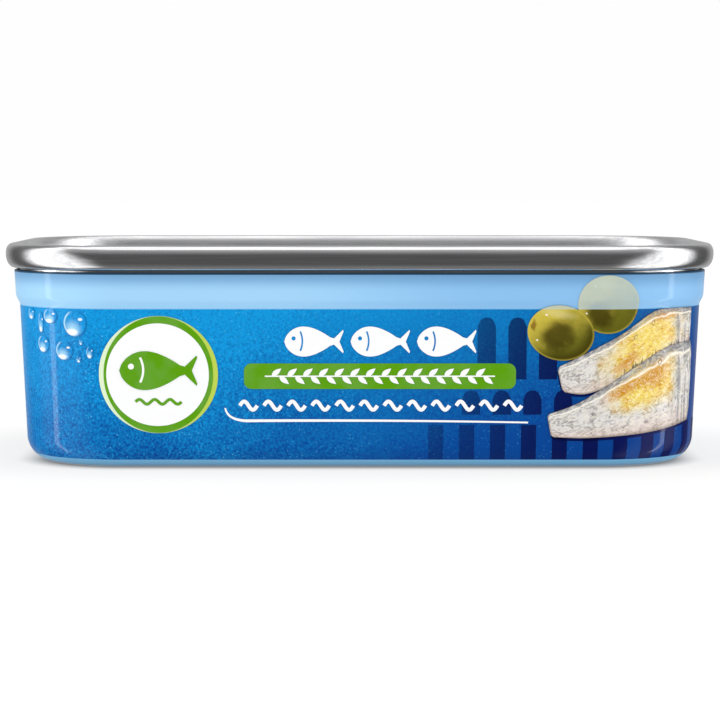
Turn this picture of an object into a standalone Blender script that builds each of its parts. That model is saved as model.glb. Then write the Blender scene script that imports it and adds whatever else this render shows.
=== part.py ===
"""A shut sardine tin: a drawn and printed can body, a seamed lid with a sunk panel, and a ring pull tab.

The tin stands on Z = 0 with its length along X and the printed front facing -Y.
Every outline seen from above is a rectangle with round corners, and each profile is a walk
of small steps (inset, rise) that starts from such an outline.
"""

from math import acos, cos, pi, radians, sin

import bmesh
import bpy

# Size of the shut tin over its seam, in metres as everywhere below
LENGTH = 0.105
DEPTH = 0.060
HEIGHT = 0.0322
CORNER_RADIUS = 0.018
CORNER_SEGMENTS = 10
FIT_GAP = 0.0003

# Seam round the lid
SEAM_HEIGHT = 0.0036
SEAM_SHOULDER = 0.0012
SEAM_UPPER_HEIGHT = 0.0015
SEAM_LOWER_HEIGHT = 0.0019
SEAM_INNER_EDGE = 0.0009
SEAM_INNER_HEIGHT = 0.0017

# Lid inside the seam, with depths below the seam's crown
CHUCK_WALL_DRAFT = 0.0005
GROOVE_DEPTH = 0.0042
GROOVE_RADIUS = 0.0005
LAND_DEPTH = 0.0032
LAND_EDGE = 0.0003
LAND_WIDTH = 0.0038
PANEL_DEPTH = 0.0038
PANEL_STEP_WIDTH = 0.0008
LID_PLUG_DEPTH = 0.0013

# Raised table pressed in the panel
TABLE_LENGTH = 0.054
TABLE_WIDTH = 0.032
TABLE_RADIUS = 0.010
TABLE_RISE = 0.0004
TABLE_EDGE = 0.0007
TABLE_X = -0.015

# Finger well pressed under the far end of the ring
WELL_X = 0.0200
WELL_LENGTH = 0.015
WELL_WIDTH = 0.011
WELL_DEPTH = 0.0006

# Can body below the seam
COLLAR_INSET = 0.00124
COLLAR_DRAFT = 0.0002
COLLAR_BAND = 0.0005
RIM_WIDTH = 0.00046
STEP_TOP = 0.0247
STEP_BOTTOM = 0.0230
STEP_INSET = 0.0006
WALL_DRAFT = 0.0009
FOOT_RADIUS = 0.0038
FOOT_LAND = 0.0016
BASE_RECESS = 0.0008
BASE_RECESS_EDGE = 0.0009

# Ring pull tab and the rivet that holds it
TAB_THICKNESS = 0.0014
TAB_EDGE = 0.0006
TAB_NOSE_RADIUS = 0.0063
TAB_RING_RADIUS = 0.0092
TAB_RING_OFFSET = 0.0120
FINGER_HOLE_RADIUS = 0.0067
FINGER_HOLE_OFFSET = 0.0124
POCKET_RADIUS = 0.0042
WEB_THICKNESS = 0.0005
NOSE_INSET = 0.0050
RIVET_HOLE_RADIUS = 0.0019
RIVET_STEM_RADIUS = 0.0015
RIVET_HEAD_RADIUS = 0.0029
RIVET_HEAD_EDGE = 0.0003
RIVET_BOSS_RADIUS = 0.0040
RIVET_BOSS_EDGE = 0.0003

# Facets of the profiles' bends and of the round pieces
SHOULDER_SEGMENTS = 5
EDGE_SEGMENTS = 3
BEND_SEGMENTS = 6
RAMP_SEGMENTS = 4
ROUND_SEGMENTS = 28
WELL_RINGS = 10
TAB_SEGMENTS = 20
TAB_EDGE_RESOLUTION = 1
SHARP_ANGLE = radians(40)

# How far a cutter reaches past what it cuts, how deep a joined piece is sunk, and the weld distance
OVERSHOOT = 0.001
BURIED = 0.0003
WELD_DISTANCE = 1e-6

# Places worked out from the sizes above
LID_Z = HEIGHT - SEAM_HEIGHT
LAND_Z = HEIGHT - LAND_DEPTH
PANEL_Z = HEIGHT - PANEL_DEPTH
TAB_Z = LAND_Z + FIT_GAP
RIVET_X = LENGTH / 2 - NOSE_INSET - TAB_NOSE_RADIUS


def make_collection(name):
    collection = bpy.data.collections.new(name)
    bpy.context.scene.collection.children.link(collection)
    return collection


def make_material(name, color, roughness, metallic):
    material = bpy.data.materials.new(name)
    material.use_nodes = True
    shader = material.node_tree.nodes["Principled BSDF"]
    shader.inputs["Base Color"].default_value = (*color, 1.0)
    shader.inputs["Roughness"].default_value = roughness
    shader.inputs["Metallic"].default_value = metallic
    return material


def rounding(inward, rise, segments):
    """Steps along a quarter of an ellipse that sets off upright and ends level."""
    angles = [pi / 2 * i / segments for i in range(segments + 1)]
    return [(inward * (cos(a) - cos(b)), rise * (sin(b) - sin(a))) for a, b in zip(angles, angles[1:])]


def levelling(inward, rise, segments):
    """Steps along a quarter of an ellipse that sets off level and ends upright."""
    angles = [pi / 2 * i / segments for i in range(segments + 1)]
    return [(inward * (sin(b) - sin(a)), rise * (cos(a) - cos(b))) for a, b in zip(angles, angles[1:])]


def s_bend(inward, rise, segments):
    """Steps of even height along an S that sets off and ends upright."""
    angles = [pi * i / segments for i in range(segments + 1)]
    return [(inward * (cos(a) - cos(b)) / 2, rise / segments) for a, b in zip(angles, angles[1:])]


def ramp(inward, rise, segments):
    """Steps of even width along an S that sets off and ends level."""
    angles = [pi * i / segments for i in range(segments + 1)]
    return [(inward / segments, rise * (cos(a) - cos(b)) / 2) for a, b in zip(angles, angles[1:])]


def rounded_slab(length, depth, radius, bottom, top):
    """A slab with upright round corners. Returns its mesh and its top and bottom faces."""
    bm = bmesh.new()
    bmesh.ops.create_cube(bm, size=1.0)
    bmesh.ops.scale(bm, vec=(length, depth, top - bottom), verts=bm.verts)
    bmesh.ops.translate(bm, vec=(0, 0, (top + bottom) / 2), verts=bm.verts)
    upright = [edge for edge in bm.edges if edge.verts[0].co.xy == edge.verts[1].co.xy]
    bmesh.ops.bevel(
        bm, geom=upright, offset=radius, segments=CORNER_SEGMENTS, profile=0.5, affect="EDGES"
    )
    faces = sorted(bm.faces, key=lambda face: face.calc_center_median().z)
    return bm, faces[-1], faces[0]


def draw(bm, face, steps):
    """Draws a flat face along its profile. A step is the inset and the rise along the face's normal."""
    for inset, rise in steps:
        bmesh.ops.inset_region(bm, faces=[face], thickness=inset, depth=rise, use_even_offset=True)


def add_mesh_object(name, bm, collection, material=None):
    mesh = bpy.data.meshes.new(name)
    bm.to_mesh(mesh)
    bm.free()
    mesh.shade_smooth()
    mesh.set_sharp_from_angle(angle=SHARP_ANGLE)
    if material:
        mesh.materials.append(material)
    obj = bpy.data.objects.new(name, mesh)
    collection.objects.link(obj)
    return obj


def add_boolean(target, tool, operation):
    """Joins or cuts the target with a tool object, which then shows as a wire guide only."""
    tool.hide_render = True
    tool.display_type = "WIRE"
    tool.parent = target
    modifier = target.modifiers.new(tool.name, "BOOLEAN")
    modifier.object = tool
    modifier.operation = operation


def disc_outline(center_x, radius, segments):
    angles = [2 * pi * i / segments for i in range(segments)]
    return [(center_x + radius * cos(a), radius * sin(a)) for a in angles]


def belt_outline(near_x, near_radius, far_x, far_radius, segments):
    """The outline of a belt round two discs on the X axis, the larger one further towards -X."""
    lean = acos((far_radius - near_radius) / (near_x - far_x))
    near = [lean * (2 * i / segments - 1) for i in range(segments + 1)]
    far = [lean + 2 * (pi - lean) * i / segments for i in range(segments + 1)]
    return [(near_x + near_radius * cos(a), near_radius * sin(a)) for a in near] + [
        (far_x + far_radius * cos(a), far_radius * sin(a)) for a in far
    ]


def add_plate(name, outlines, thickness, edge, collection, material):
    """A flat plate with rolled edges, standing on Z = 0: a filled 2D curve made into a mesh."""
    curve = bpy.data.curves.new(name, "CURVE")
    curve.dimensions = "2D"
    curve.fill_mode = "BOTH"
    curve.extrude = thickness / 2 - edge
    curve.bevel_depth = edge
    curve.bevel_resolution = TAB_EDGE_RESOLUTION
    curve.offset = -edge
    for outline in outlines:
        spline = curve.splines.new("POLY")
        spline.points.add(len(outline) - 1)
        for point, (x, y) in zip(spline.points, outline):
            point.co = (x, y, 0, 1)
        spline.use_cyclic_u = True
    curve_object = bpy.data.objects.new(name, curve)
    collection.objects.link(curve_object)
    evaluated = curve_object.evaluated_get(bpy.context.evaluated_depsgraph_get())
    flat = bpy.data.meshes.new_from_object(evaluated)
    bm = bmesh.new()
    bm.from_mesh(flat)
    bmesh.ops.remove_doubles(bm, verts=bm.verts, dist=WELD_DISTANCE)
    bmesh.ops.recalc_face_normals(bm, faces=bm.faces)
    bmesh.ops.translate(bm, vec=(0, 0, thickness / 2), verts=bm.verts)
    bpy.data.meshes.remove(flat)
    bpy.data.objects.remove(curve_object)
    bpy.data.curves.remove(curve)
    return add_mesh_object(name, bm, collection, material)


def add_turned(name, profile, cutters):
    """A turned piece: a profile of (radius, height) points from top to bottom with a Screw modifier."""
    mesh = bpy.data.meshes.new(name)
    points = [(radius, 0, height) for radius, height in profile]
    mesh.from_pydata(points, [(i, i + 1) for i in range(len(points) - 1)], [])
    obj = bpy.data.objects.new(name, mesh)
    cutters.objects.link(obj)
    screw = obj.modifiers.new("turn", "SCREW")
    screw.steps = ROUND_SEGMENTS
    screw.render_steps = ROUND_SEGMENTS
    screw.use_merge_vertices = True
    screw.merge_threshold = WELD_DISTANCE
    return obj


def rounded_edge(radius, top, edge):
    """Profile points round the upper edge of a turned piece, from its top to its side."""
    angles = [pi / 2 * i / EDGE_SEGMENTS for i in range(EDGE_SEGMENTS + 1)]
    return [(radius - edge + edge * sin(a), top - edge + edge * cos(a)) for a in angles]


def make_can_body(collection, material):
    """The filled can: a collar under the seam, a shoulder step, a drafted wall and a round foot."""
    top = LID_Z - FIT_GAP
    bm, top_face, bottom_face = rounded_slab(
        LENGTH - 2 * COLLAR_INSET, DEPTH - 2 * COLLAR_INSET, CORNER_RADIUS - COLLAR_INSET,
        top - COLLAR_BAND, top,
    )
    draw(bm, top_face, [(RIM_WIDTH, 0), (0, -LID_PLUG_DEPTH)])
    draw(bm, bottom_face, [(COLLAR_DRAFT, top - COLLAR_BAND - STEP_TOP)])
    draw(bm, bottom_face, s_bend(STEP_INSET, STEP_TOP - STEP_BOTTOM, BEND_SEGMENTS))
    draw(bm, bottom_face, [(WALL_DRAFT, STEP_BOTTOM - FOOT_RADIUS)])
    draw(bm, bottom_face, rounding(FOOT_RADIUS, FOOT_RADIUS, BEND_SEGMENTS))
    draw(bm, bottom_face, [(FOOT_LAND, 0)])
    draw(bm, bottom_face, ramp(BASE_RECESS_EDGE, -BASE_RECESS, RAMP_SEGMENTS))
    return add_mesh_object("can_body", bm, collection, material)


def make_panel_table():
    """The raised table, with its base a little way down in the panel that it joins."""
    bm, top_face, _ = rounded_slab(TABLE_LENGTH, TABLE_WIDTH, TABLE_RADIUS, -BURIED, 0)
    draw(bm, top_face, ramp(TABLE_EDGE, TABLE_RISE, RAMP_SEGMENTS))
    return bm


def make_finger_well():
    """A shallow bowl: a flattened ball whose middle plane is the panel's face."""
    bm = bmesh.new()
    bmesh.ops.create_uvsphere(bm, u_segments=ROUND_SEGMENTS, v_segments=WELL_RINGS, radius=1.0)
    bmesh.ops.scale(bm, vec=(WELL_LENGTH / 2, WELL_WIDTH / 2, WELL_DEPTH), verts=bm.verts)
    return bm


def make_rivet_profile():
    """The boss under the tab, the stem through its hole and the head over its web, from top to bottom."""
    head_top = TAB_THICKNESS
    head_bottom = WEB_THICKNESS + FIT_GAP
    boss_top = -FIT_GAP
    return [
        (0, head_top),
        *rounded_edge(RIVET_HEAD_RADIUS, head_top, RIVET_HEAD_EDGE),
        (RIVET_HEAD_RADIUS, head_bottom),
        (RIVET_STEM_RADIUS, head_bottom),
        (RIVET_STEM_RADIUS, boss_top),
        *rounded_edge(RIVET_BOSS_RADIUS, boss_top, RIVET_BOSS_EDGE),
        (RIVET_BOSS_RADIUS, PANEL_Z - TAB_Z - BURIED),
        (0, PANEL_Z - TAB_Z - BURIED),
    ]


def make_lid(collection, cutters, material):
    """The lid: its seam, the wall and groove inside it, the sunk panel, and what is pressed in that."""
    bm, top_face, bottom_face = rounded_slab(
        LENGTH, DEPTH, CORNER_RADIUS, SEAM_LOWER_HEIGHT, SEAM_HEIGHT - SEAM_UPPER_HEIGHT
    )
    draw(bm, bottom_face, rounding(SEAM_SHOULDER, SEAM_LOWER_HEIGHT, SHOULDER_SEGMENTS))
    plug_inset = COLLAR_INSET + RIM_WIDTH + FIT_GAP
    draw(bm, bottom_face, [(plug_inset - SEAM_SHOULDER, 0), (0, LID_PLUG_DEPTH)])
    draw(bm, top_face, rounding(SEAM_SHOULDER, SEAM_UPPER_HEIGHT, SHOULDER_SEGMENTS))
    draw(bm, top_face, levelling(SEAM_INNER_EDGE, -SEAM_INNER_HEIGHT, SHOULDER_SEGMENTS))
    draw(bm, top_face, [(CHUCK_WALL_DRAFT, SEAM_INNER_HEIGHT + GROOVE_RADIUS - GROOVE_DEPTH)])
    draw(bm, top_face, rounding(GROOVE_RADIUS, -GROOVE_RADIUS, EDGE_SEGMENTS))
    draw(bm, top_face, levelling(GROOVE_RADIUS, GROOVE_RADIUS, EDGE_SEGMENTS))
    draw(bm, top_face, [(0, GROOVE_DEPTH - GROOVE_RADIUS - LAND_DEPTH - LAND_EDGE)])
    draw(bm, top_face, rounding(LAND_EDGE, LAND_EDGE, EDGE_SEGMENTS))
    draw(bm, top_face, [(LAND_WIDTH, 0)])
    draw(bm, top_face, ramp(PANEL_STEP_WIDTH, LAND_DEPTH - PANEL_DEPTH, RAMP_SEGMENTS))
    lid = add_mesh_object("lid", bm, collection, material)

    table = add_mesh_object("panel_table", make_panel_table(), cutters)
    table.location = (TABLE_X, 0, PANEL_Z - LID_Z)
    add_boolean(lid, table, "UNION")

    rivet = add_turned("rivet", make_rivet_profile(), cutters)
    rivet.location = (RIVET_X, 0, TAB_Z - LID_Z)
    add_boolean(lid, rivet, "UNION")

    well = add_mesh_object("finger_well", make_finger_well(), cutters)
    well.location = (WELL_X, 0, PANEL_Z - LID_Z)
    add_boolean(lid, well, "DIFFERENCE")
    return lid


def make_pull_tab(collection, cutters, material):
    """The ring pull, with its origin on the rivet's axis and its ring towards -X."""
    outline = belt_outline(0, TAB_NOSE_RADIUS, -TAB_RING_OFFSET, TAB_RING_RADIUS, TAB_SEGMENTS)
    finger_hole = disc_outline(-FINGER_HOLE_OFFSET, FINGER_HOLE_RADIUS, 2 * TAB_SEGMENTS)
    tab = add_plate("pull_tab", [outline, finger_hole], TAB_THICKNESS, TAB_EDGE, collection, material)
    pocket_profile = [
        (0, TAB_THICKNESS + OVERSHOOT),
        (POCKET_RADIUS, TAB_THICKNESS + OVERSHOOT),
        (POCKET_RADIUS, WEB_THICKNESS),
        (RIVET_HOLE_RADIUS, WEB_THICKNESS),
        (RIVET_HOLE_RADIUS, -OVERSHOOT),
        (0, -OVERSHOOT),
    ]
    add_boolean(tab, add_turned("rivet_pocket", pocket_profile, cutters), "DIFFERENCE")
    return tab


def main():
    for obj in list(bpy.data.objects):
        bpy.data.objects.remove(obj)

    parts = make_collection("sardine_tin")
    cutters = make_collection("cutters")
    print_lacquer = make_material("print_lacquer", (0.008, 0.13, 0.46), 0.25, 0.0)
    bright_metal = make_material("bright_metal", (0.60, 0.59, 0.58), 0.28, 1.0)

    tin = bpy.data.objects.new("tin_origin", None)
    parts.objects.link(tin)
    body = make_can_body(parts, print_lacquer)
    body.parent = tin
    lid = make_lid(parts, cutters, bright_metal)
    lid.parent = tin
    lid.location = (0, 0, LID_Z)
    tab = make_pull_tab(parts, cutters, bright_metal)
    tab.parent = lid
    tab.location = (RIVET_X, 0, TAB_Z - LID_Z)


main()
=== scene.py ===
"""The looks of a shut sardine tin: fine metal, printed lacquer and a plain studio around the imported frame.

Everything is in metres in the frame's own axes: the tin stands on Z = 0, its length lies along X
and its printed front faces -Y. A place on the printed wall is (along, up): the way along the wall
from the middle of the front, and the height above the table.
"""

from math import acos, cos, copysign, hypot, pi, radians, sin, sqrt, tau

import bmesh
import bpy
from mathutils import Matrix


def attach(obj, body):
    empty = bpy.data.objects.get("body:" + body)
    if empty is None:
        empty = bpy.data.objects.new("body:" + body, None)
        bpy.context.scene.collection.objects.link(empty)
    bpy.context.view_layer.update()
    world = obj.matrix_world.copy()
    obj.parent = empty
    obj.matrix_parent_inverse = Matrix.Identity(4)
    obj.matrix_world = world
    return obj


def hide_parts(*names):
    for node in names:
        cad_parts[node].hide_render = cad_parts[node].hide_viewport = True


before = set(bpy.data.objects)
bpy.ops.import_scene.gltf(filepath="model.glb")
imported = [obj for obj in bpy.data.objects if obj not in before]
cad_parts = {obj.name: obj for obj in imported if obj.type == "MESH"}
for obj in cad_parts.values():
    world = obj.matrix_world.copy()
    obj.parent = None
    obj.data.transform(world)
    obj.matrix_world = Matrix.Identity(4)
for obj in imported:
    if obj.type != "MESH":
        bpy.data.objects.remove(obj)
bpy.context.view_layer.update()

MM = 0.001

# The tin's driving sizes, which are those of the solids
LENGTH = 105 * MM
DEPTH = 60 * MM
HEIGHT = 32.2 * MM
CORNER_RADIUS = 18 * MM
SEAM_HEIGHT = 3.6 * MM
SEAM_SHOULDER = 1.2 * MM
SEAM_INNER_EDGE = 0.9 * MM
SEAM_INNER_HEIGHT = 1.7 * MM
SEAM_LOWER_HEIGHT = 2.0 * MM
SEAM_LOWER_POWER = 2.0
SEAM_UPPER_POWER = 2.4
CHUCK_WALL_DRAFT = 0.5 * MM
GROOVE_DEPTH = 4.2 * MM
GROOVE_RADIUS = 0.5 * MM
LAND_DEPTH = 3.2 * MM
LAND_EDGE = 0.3 * MM
LAND_WIDTH = 3.8 * MM
SCORE_OFFSET = 0.5 * MM
SCORE_WIDTH = 0.25 * MM
SCORE_DEPTH = 0.12 * MM
PANEL_DEPTH = 3.8 * MM
PANEL_STEP_WIDTH = 0.8 * MM
LID_PLUG_DEPTH = 1.3 * MM
TABLE_LENGTH = 54 * MM
TABLE_WIDTH = 32 * MM
TABLE_RADIUS = 10 * MM
TABLE_RISE = 0.4 * MM
TABLE_EDGE = 0.7 * MM
TABLE_X = -15 * MM
WELL_X = 20 * MM
WELL_LENGTH = 15 * MM
WELL_WIDTH = 11 * MM
WELL_DEPTH = 0.6 * MM
FIT_GAP = 0.3 * MM
COLLAR_INSET = 1.24 * MM
COLLAR_DRAFT = 0.2 * MM
COLLAR_EDGE = 0.15 * MM
RIM_WIDTH = 0.46 * MM
STEP_TOP = 24.7 * MM
STEP_BOTTOM = 23.0 * MM
STEP_INSET = 0.6 * MM
WALL_DRAFT = 0.9 * MM
FOOT_RADIUS = 3.8 * MM
FOOT_LAND = 1.6 * MM
BASE_RECESS = 0.8 * MM
BASE_RECESS_EDGE = 0.9 * MM
BASE_EDGE_HEIGHT = 0.12 * MM
BASE_BEAD_INSET = 3.0 * MM
BASE_BEAD_WIDTH = 2.4 * MM
BASE_BEAD_RISE = 0.35 * MM
TAB_THICKNESS = 1.4 * MM
TAB_EDGE = 0.6 * MM
TAB_NOSE_RADIUS = 6.3 * MM
TAB_RING_RADIUS = 9.2 * MM
TAB_RING_OFFSET = 12.0 * MM
FINGER_HOLE_RADIUS = 6.7 * MM
FINGER_HOLE_OFFSET = 12.4 * MM
POCKET_RADIUS = 4.2 * MM
POCKET_EDGE = 0.25 * MM
WEB_THICKNESS = 0.5 * MM
NOSE_INSET = 5.0 * MM
RIVET_HOLE_RADIUS = 1.9 * MM
RIVET_STEM_RADIUS = 1.5 * MM
RIVET_HEAD_RADIUS = 2.9 * MM
RIVET_HEAD_EDGE = 0.3 * MM
RIVET_BOSS_RADIUS = 4.0 * MM
RIVET_BOSS_EDGE = 0.5 * MM
BURIED = 0.3 * MM
CUT_MARGIN = 1 * MM
CAP_RADIUS = 0.05 * MM

LID_Z = HEIGHT - SEAM_HEIGHT
CAN_TOP = LID_Z - FIT_GAP
TAB_Z = HEIGHT - LAND_DEPTH + FIT_GAP
RIVET_X = LENGTH / 2 - NOSE_INSET - TAB_NOSE_RADIUS
STRAIGHT_X = LENGTH / 2 - CORNER_RADIUS
STRAIGHT_Y = DEPTH / 2 - CORNER_RADIUS
CORNER_WALL_RADIUS = 15.5 * MM
FOOT_INSET = COLLAR_INSET + COLLAR_DRAFT + STEP_INSET + WALL_DRAFT + FOOT_RADIUS

# Vertices round the tin and along its bends
CORNER_STEPS = 24
LONG_STEPS = 120
SHORT_STEPS = 60
BEND_STEPS = 10
PANEL_RINGS = 110
ROUND_STEPS = 64
SHARP_ANGLE = radians(50)
TAB_SHARP_ANGLE = radians(35)
MERGE_DISTANCE = 0.001 * MM

# The camera, fitted to the outline in the photograph
CAMERA_DISTANCE = 402.5 * MM
CAMERA_HEIGHT = 43.2 * MM
CAMERA_PITCH = 0.073
CAMERA_X = 0.05 * MM
FOCAL_PIXELS = 2623.6
FRAME_PIXELS = 720
SENSOR_WIDTH = 36.0

STUDIO_WHITE = 0.99
SIDE_LIGHT = 1.4
STRIP_LIGHT = 8.0
TOP_LIGHT = 1.5
FLOOR_SHADOW = 0.16
FLOOR_REACH = 3.0


# Curves and meshes


def levelling(inward, rise, segments=BEND_STEPS, power=2.0):
    """Steps (inset, rise) along a quarter of a superellipse that sets off level and ends upright."""
    angles = [pi / 2 * i / segments for i in range(segments + 1)]
    places = [(sin(a) ** (2 / power), 1 - cos(a) ** (2 / power)) for a in angles]
    return [(inward * (b[0] - a[0]), rise * (b[1] - a[1])) for a, b in zip(places, places[1:])]


def rounding(inward, rise, segments=BEND_STEPS, power=2.0):
    """Steps along a quarter of a superellipse that sets off upright and ends level."""
    return levelling(inward, rise, segments, power)[::-1]


def s_bend(inward, rise, segments=BEND_STEPS):
    """Steps of even height along an S that sets off and ends upright."""
    angles = [pi * i / segments for i in range(segments + 1)]
    return [(inward * (cos(a) - cos(b)) / 2, rise / segments) for a, b in zip(angles, angles[1:])]


def ramp(inward, rise, segments=BEND_STEPS):
    """Steps of even width along an S that sets off and ends level."""
    angles = [pi * i / segments for i in range(segments + 1)]
    return [(inward / segments, rise * (cos(a) - cos(b)) / 2) for a, b in zip(angles, angles[1:])]


def straight(inward, rise, segments=1):
    return [(inward / segments, rise / segments)] * segments


def walk(start, *runs):
    """The profile points (inset, height) reached from a start by runs of steps."""
    points = [start]
    for run in runs:
        for inset, rise in run:
            points.append((points[-1][0] + inset, points[-1][1] + rise))
    return points


def outline(inset):
    """Points round the tin at an inset from the seam's face, anticlockwise from the front's right corner."""
    radius = CORNER_RADIUS - inset
    centers = [(1, -1), (1, 1), (-1, 1), (-1, -1)]
    arcs = []
    for quarter, (side_x, side_y) in enumerate(centers):
        angles = [pi / 2 * (quarter - 1 + i / CORNER_STEPS) for i in range(CORNER_STEPS + 1)]
        arcs.append([
            (side_x * STRAIGHT_X + radius * cos(a), side_y * STRAIGHT_Y + radius * sin(a)) for a in angles
        ])
    points = []
    for quarter, arc in enumerate(arcs):
        points += arc
        (x0, y0), (x1, y1) = arc[-1], arcs[(quarter + 1) % 4][0]
        steps = LONG_STEPS if quarter % 2 else SHORT_STEPS
        points += [(x0 + (x1 - x0) * i / steps, y0 + (y1 - y0) * i / steps) for i in range(1, steps)]
    return points


def add_object(name, mesh, material):
    mesh.materials.append(material)
    obj = bpy.data.objects.new(name, mesh)
    bpy.context.scene.collection.objects.link(obj)
    return obj


def smooth(mesh, angle=SHARP_ANGLE):
    mesh.shade_smooth()
    mesh.set_sharp_from_angle(angle=angle)


def finished(obj):
    """A mesh of the object as its curve and modifiers leave it."""
    return bpy.data.meshes.new_from_object(obj.evaluated_get(bpy.context.evaluated_depsgraph_get()))


def add_mesh(name, bm, material):
    """An object of a finished bmesh, shaded smooth but for its sharp edges."""
    bmesh.ops.recalc_face_normals(bm, faces=bm.faces)
    mesh = bpy.data.meshes.new(name)
    bm.to_mesh(mesh)
    bm.free()
    smooth(mesh)
    return add_object(name, mesh, material)


def loft(rings, capped=True):
    """A closed body through rings of points, with a flat cap at the start and, when capped, at the end."""
    bm = bmesh.new()
    rows = [[bm.verts.new(point) for point in ring] for ring in rings]
    for row, following in zip(rows, rows[1:]):
        for i in range(len(row)):
            j = (i + 1) % len(row)
            bm.faces.new((row[i], row[j], following[j], following[i]))
    bm.faces.new(rows[0])
    if capped:
        bm.faces.new(rows[-1])
    else:
        bmesh.ops.remove_doubles(bm, verts=rows[-1], dist=MERGE_DISTANCE)
    return bm


def loft_profile(profile):
    return [[(x, y, z) for x, y in outline(inset)] for inset, z in profile]


def turned(profile, center_x, base_z):
    """A closed body turned round an upright axis from a profile of (radius, height) points."""
    angles = [tau * i / ROUND_STEPS for i in range(ROUND_STEPS)]
    return loft([
        [(center_x + radius * cos(a), radius * sin(a), base_z + height) for a in angles]
        for radius, height in profile
    ])


def smooth_step(value):
    value = min(1.0, max(0.0, value))
    return value * value * (3 - 2 * value)


# Materials


class Graph:
    """A short way to build a node tree: each call adds a node and gives its output."""

    def __init__(self, tree, shader=None):
        self.tree = tree
        self.shader = shader

    def feed(self, socket, value):
        if isinstance(value, bpy.types.NodeSocket):
            self.tree.links.new(value, socket)
        else:
            socket.default_value = value

    def dial(self, name, value):
        """Sets or links one of the shader's own inputs."""
        self.feed(self.shader.inputs[name], value)

    def node(self, kind, inputs, **settings):
        """The outputs of a new node. Inputs go by name or number."""
        node = self.tree.nodes.new("ShaderNode" + kind)
        for key, value in settings.items():
            setattr(node, key, value)
        for key, value in inputs.items():
            self.feed(node.inputs[key], value)
        return node.outputs

    def math(self, operation, *values, clamp=False):
        return self.node("Math", dict(enumerate(values)), operation=operation, use_clamp=clamp)[0]

    def times(self, *values):
        """The product of two or more values."""
        product = values[0]
        for value in values[1:]:
            product = self.math("MULTIPLY", product, value)
        return product

    def plus(self, first, second, clamp=False):
        return self.math("ADD", first, second, clamp=clamp)

    def minus(self, first, second):
        return self.math("SUBTRACT", first, second)

    def ramped(self, value, slope, start):
        """slope times the value, plus start."""
        return self.math("MULTIPLY_ADD", value, slope, start)

    def size(self, value):
        return self.math("ABSOLUTE", value)

    def larger(self, first, second):
        return self.math("MAXIMUM", first, second)

    def fade(self, value, low, high, reach=1.0, base=0.0):
        """Goes smoothly from base to reach as the value goes from low to high."""
        inputs = dict(enumerate((value, low, high, base, reach)))
        return self.node("MapRange", inputs, interpolation_type="SMOOTHSTEP")[0]

    def mix(self, factor, first, second):
        return self.node("Mix", {0: factor, 6: first, 7: second}, data_type="RGBA")[2]

    def parted(self, vector):
        return self.node("SeparateXYZ", {0: vector})

    def place(self):
        """The point's own place in metres: (vector, x, y, z)."""
        vector = self.node("TexCoord", {})["Object"]
        return vector, *self.parted(vector)

    def along(self, x, y):
        """The way along the front wall, and on the back wall along its own copy of the print."""
        return self.times(x, self.fade(y, -WRAP_REACH, WRAP_REACH, -1.0, 1.0))

    def local(self):
        """The point's place in its printed shape: (vector, u, v), from 0 to 1 each way."""
        vector = self.node("UVMap", {}, uv_map=SHAPE_MAP)[0]
        u, v, _ = self.parted(vector)
        return vector, u, v

    def scaled(self, vector, scale):
        return self.node("VectorMath", {0: vector, 1: scale}, operation="MULTIPLY")[0]

    def noise(self, vector, scale, detail=2.0, distortion=0.0):
        inputs = {"Vector": vector, "Scale": scale, "Detail": detail, "Distortion": distortion}
        return self.node("TexNoise", inputs)["Fac"]

    def cells(self, vector, scale):
        """A random number for each cell and the distance from its middle."""
        outputs = self.node("TexVoronoi", {"Vector": vector, "Scale": scale})
        return self.parted(outputs["Color"])[0], outputs["Distance"]

    def reach(self, x, y):
        """The length of (x, y)."""
        return self.math("SQRT", self.plus(self.times(x, x), self.times(y, y)))

    def spot(self, u, v, center_u, center_v, radius_u, radius_v):
        """The distance from a spot's centre, 1 at its edge."""
        a = self.times(self.minus(u, center_u), 1 / radius_u)
        b = self.times(self.minus(v, center_v), 1 / radius_v)
        return self.reach(a, b)

    def beyond(self, x, y, inset):
        """How far a place lies outside the tin's outline at an inset, below 0 inside it."""
        over_x = self.minus(self.size(x), STRAIGHT_X)
        over_y = self.minus(self.size(y), STRAIGHT_Y)
        outside = self.reach(self.larger(over_x, 0.0), self.larger(over_y, 0.0))
        inside = self.math("MINIMUM", self.larger(over_x, over_y), 0.0)
        return self.minus(self.plus(outside, inside), CORNER_RADIUS - inset)

    def bump(self, height, distance):
        return self.node("Bump", {"Strength": 1.0, "Distance": distance, "Height": height})[0]


SHAPE_MAP = "shape"


def linear(red, green, blue):
    """A linear colour from 0 to 255 screen values."""
    def channel(value):
        value /= 255
        return value / 12.92 if value <= 0.04045 else ((value + 0.055) / 1.055) ** 2.4
    return (channel(red), channel(green), channel(blue), 1.0)


FIELD_BRIGHT = linear(12, 154, 224)
FIELD_DEEP = linear(0, 70, 151)
FIELD_SPARKLE = linear(84, 190, 238)
FIELD_NAVY = linear(0, 10, 78)
BAND_PALE = linear(174, 221, 254)
BAND_DEEPER = linear(149, 201, 244)
# Painted shade: the band's colour under the seam's overhang
PAINTED_BAND_SHADE = linear(112, 160, 204)
BAND_LINE = linear(60, 172, 214)
FOOT_PALE = linear(126, 192, 234)
OLIVE_VEIL = linear(190, 210, 212)
BADGE_GREEN = linear(92, 160, 6)
BADGE_PALE = linear(226, 244, 206)
BADGE_LIME = linear(192, 214, 84)
PRINT_WHITE = linear(253, 253, 253)
WHITE = linear(255, 255, 255)
# Painted shade: the dark line at the collar's top, under the seam's overhang
PAINTED_SEAM_SHADE = linear(44, 78, 106)
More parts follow.
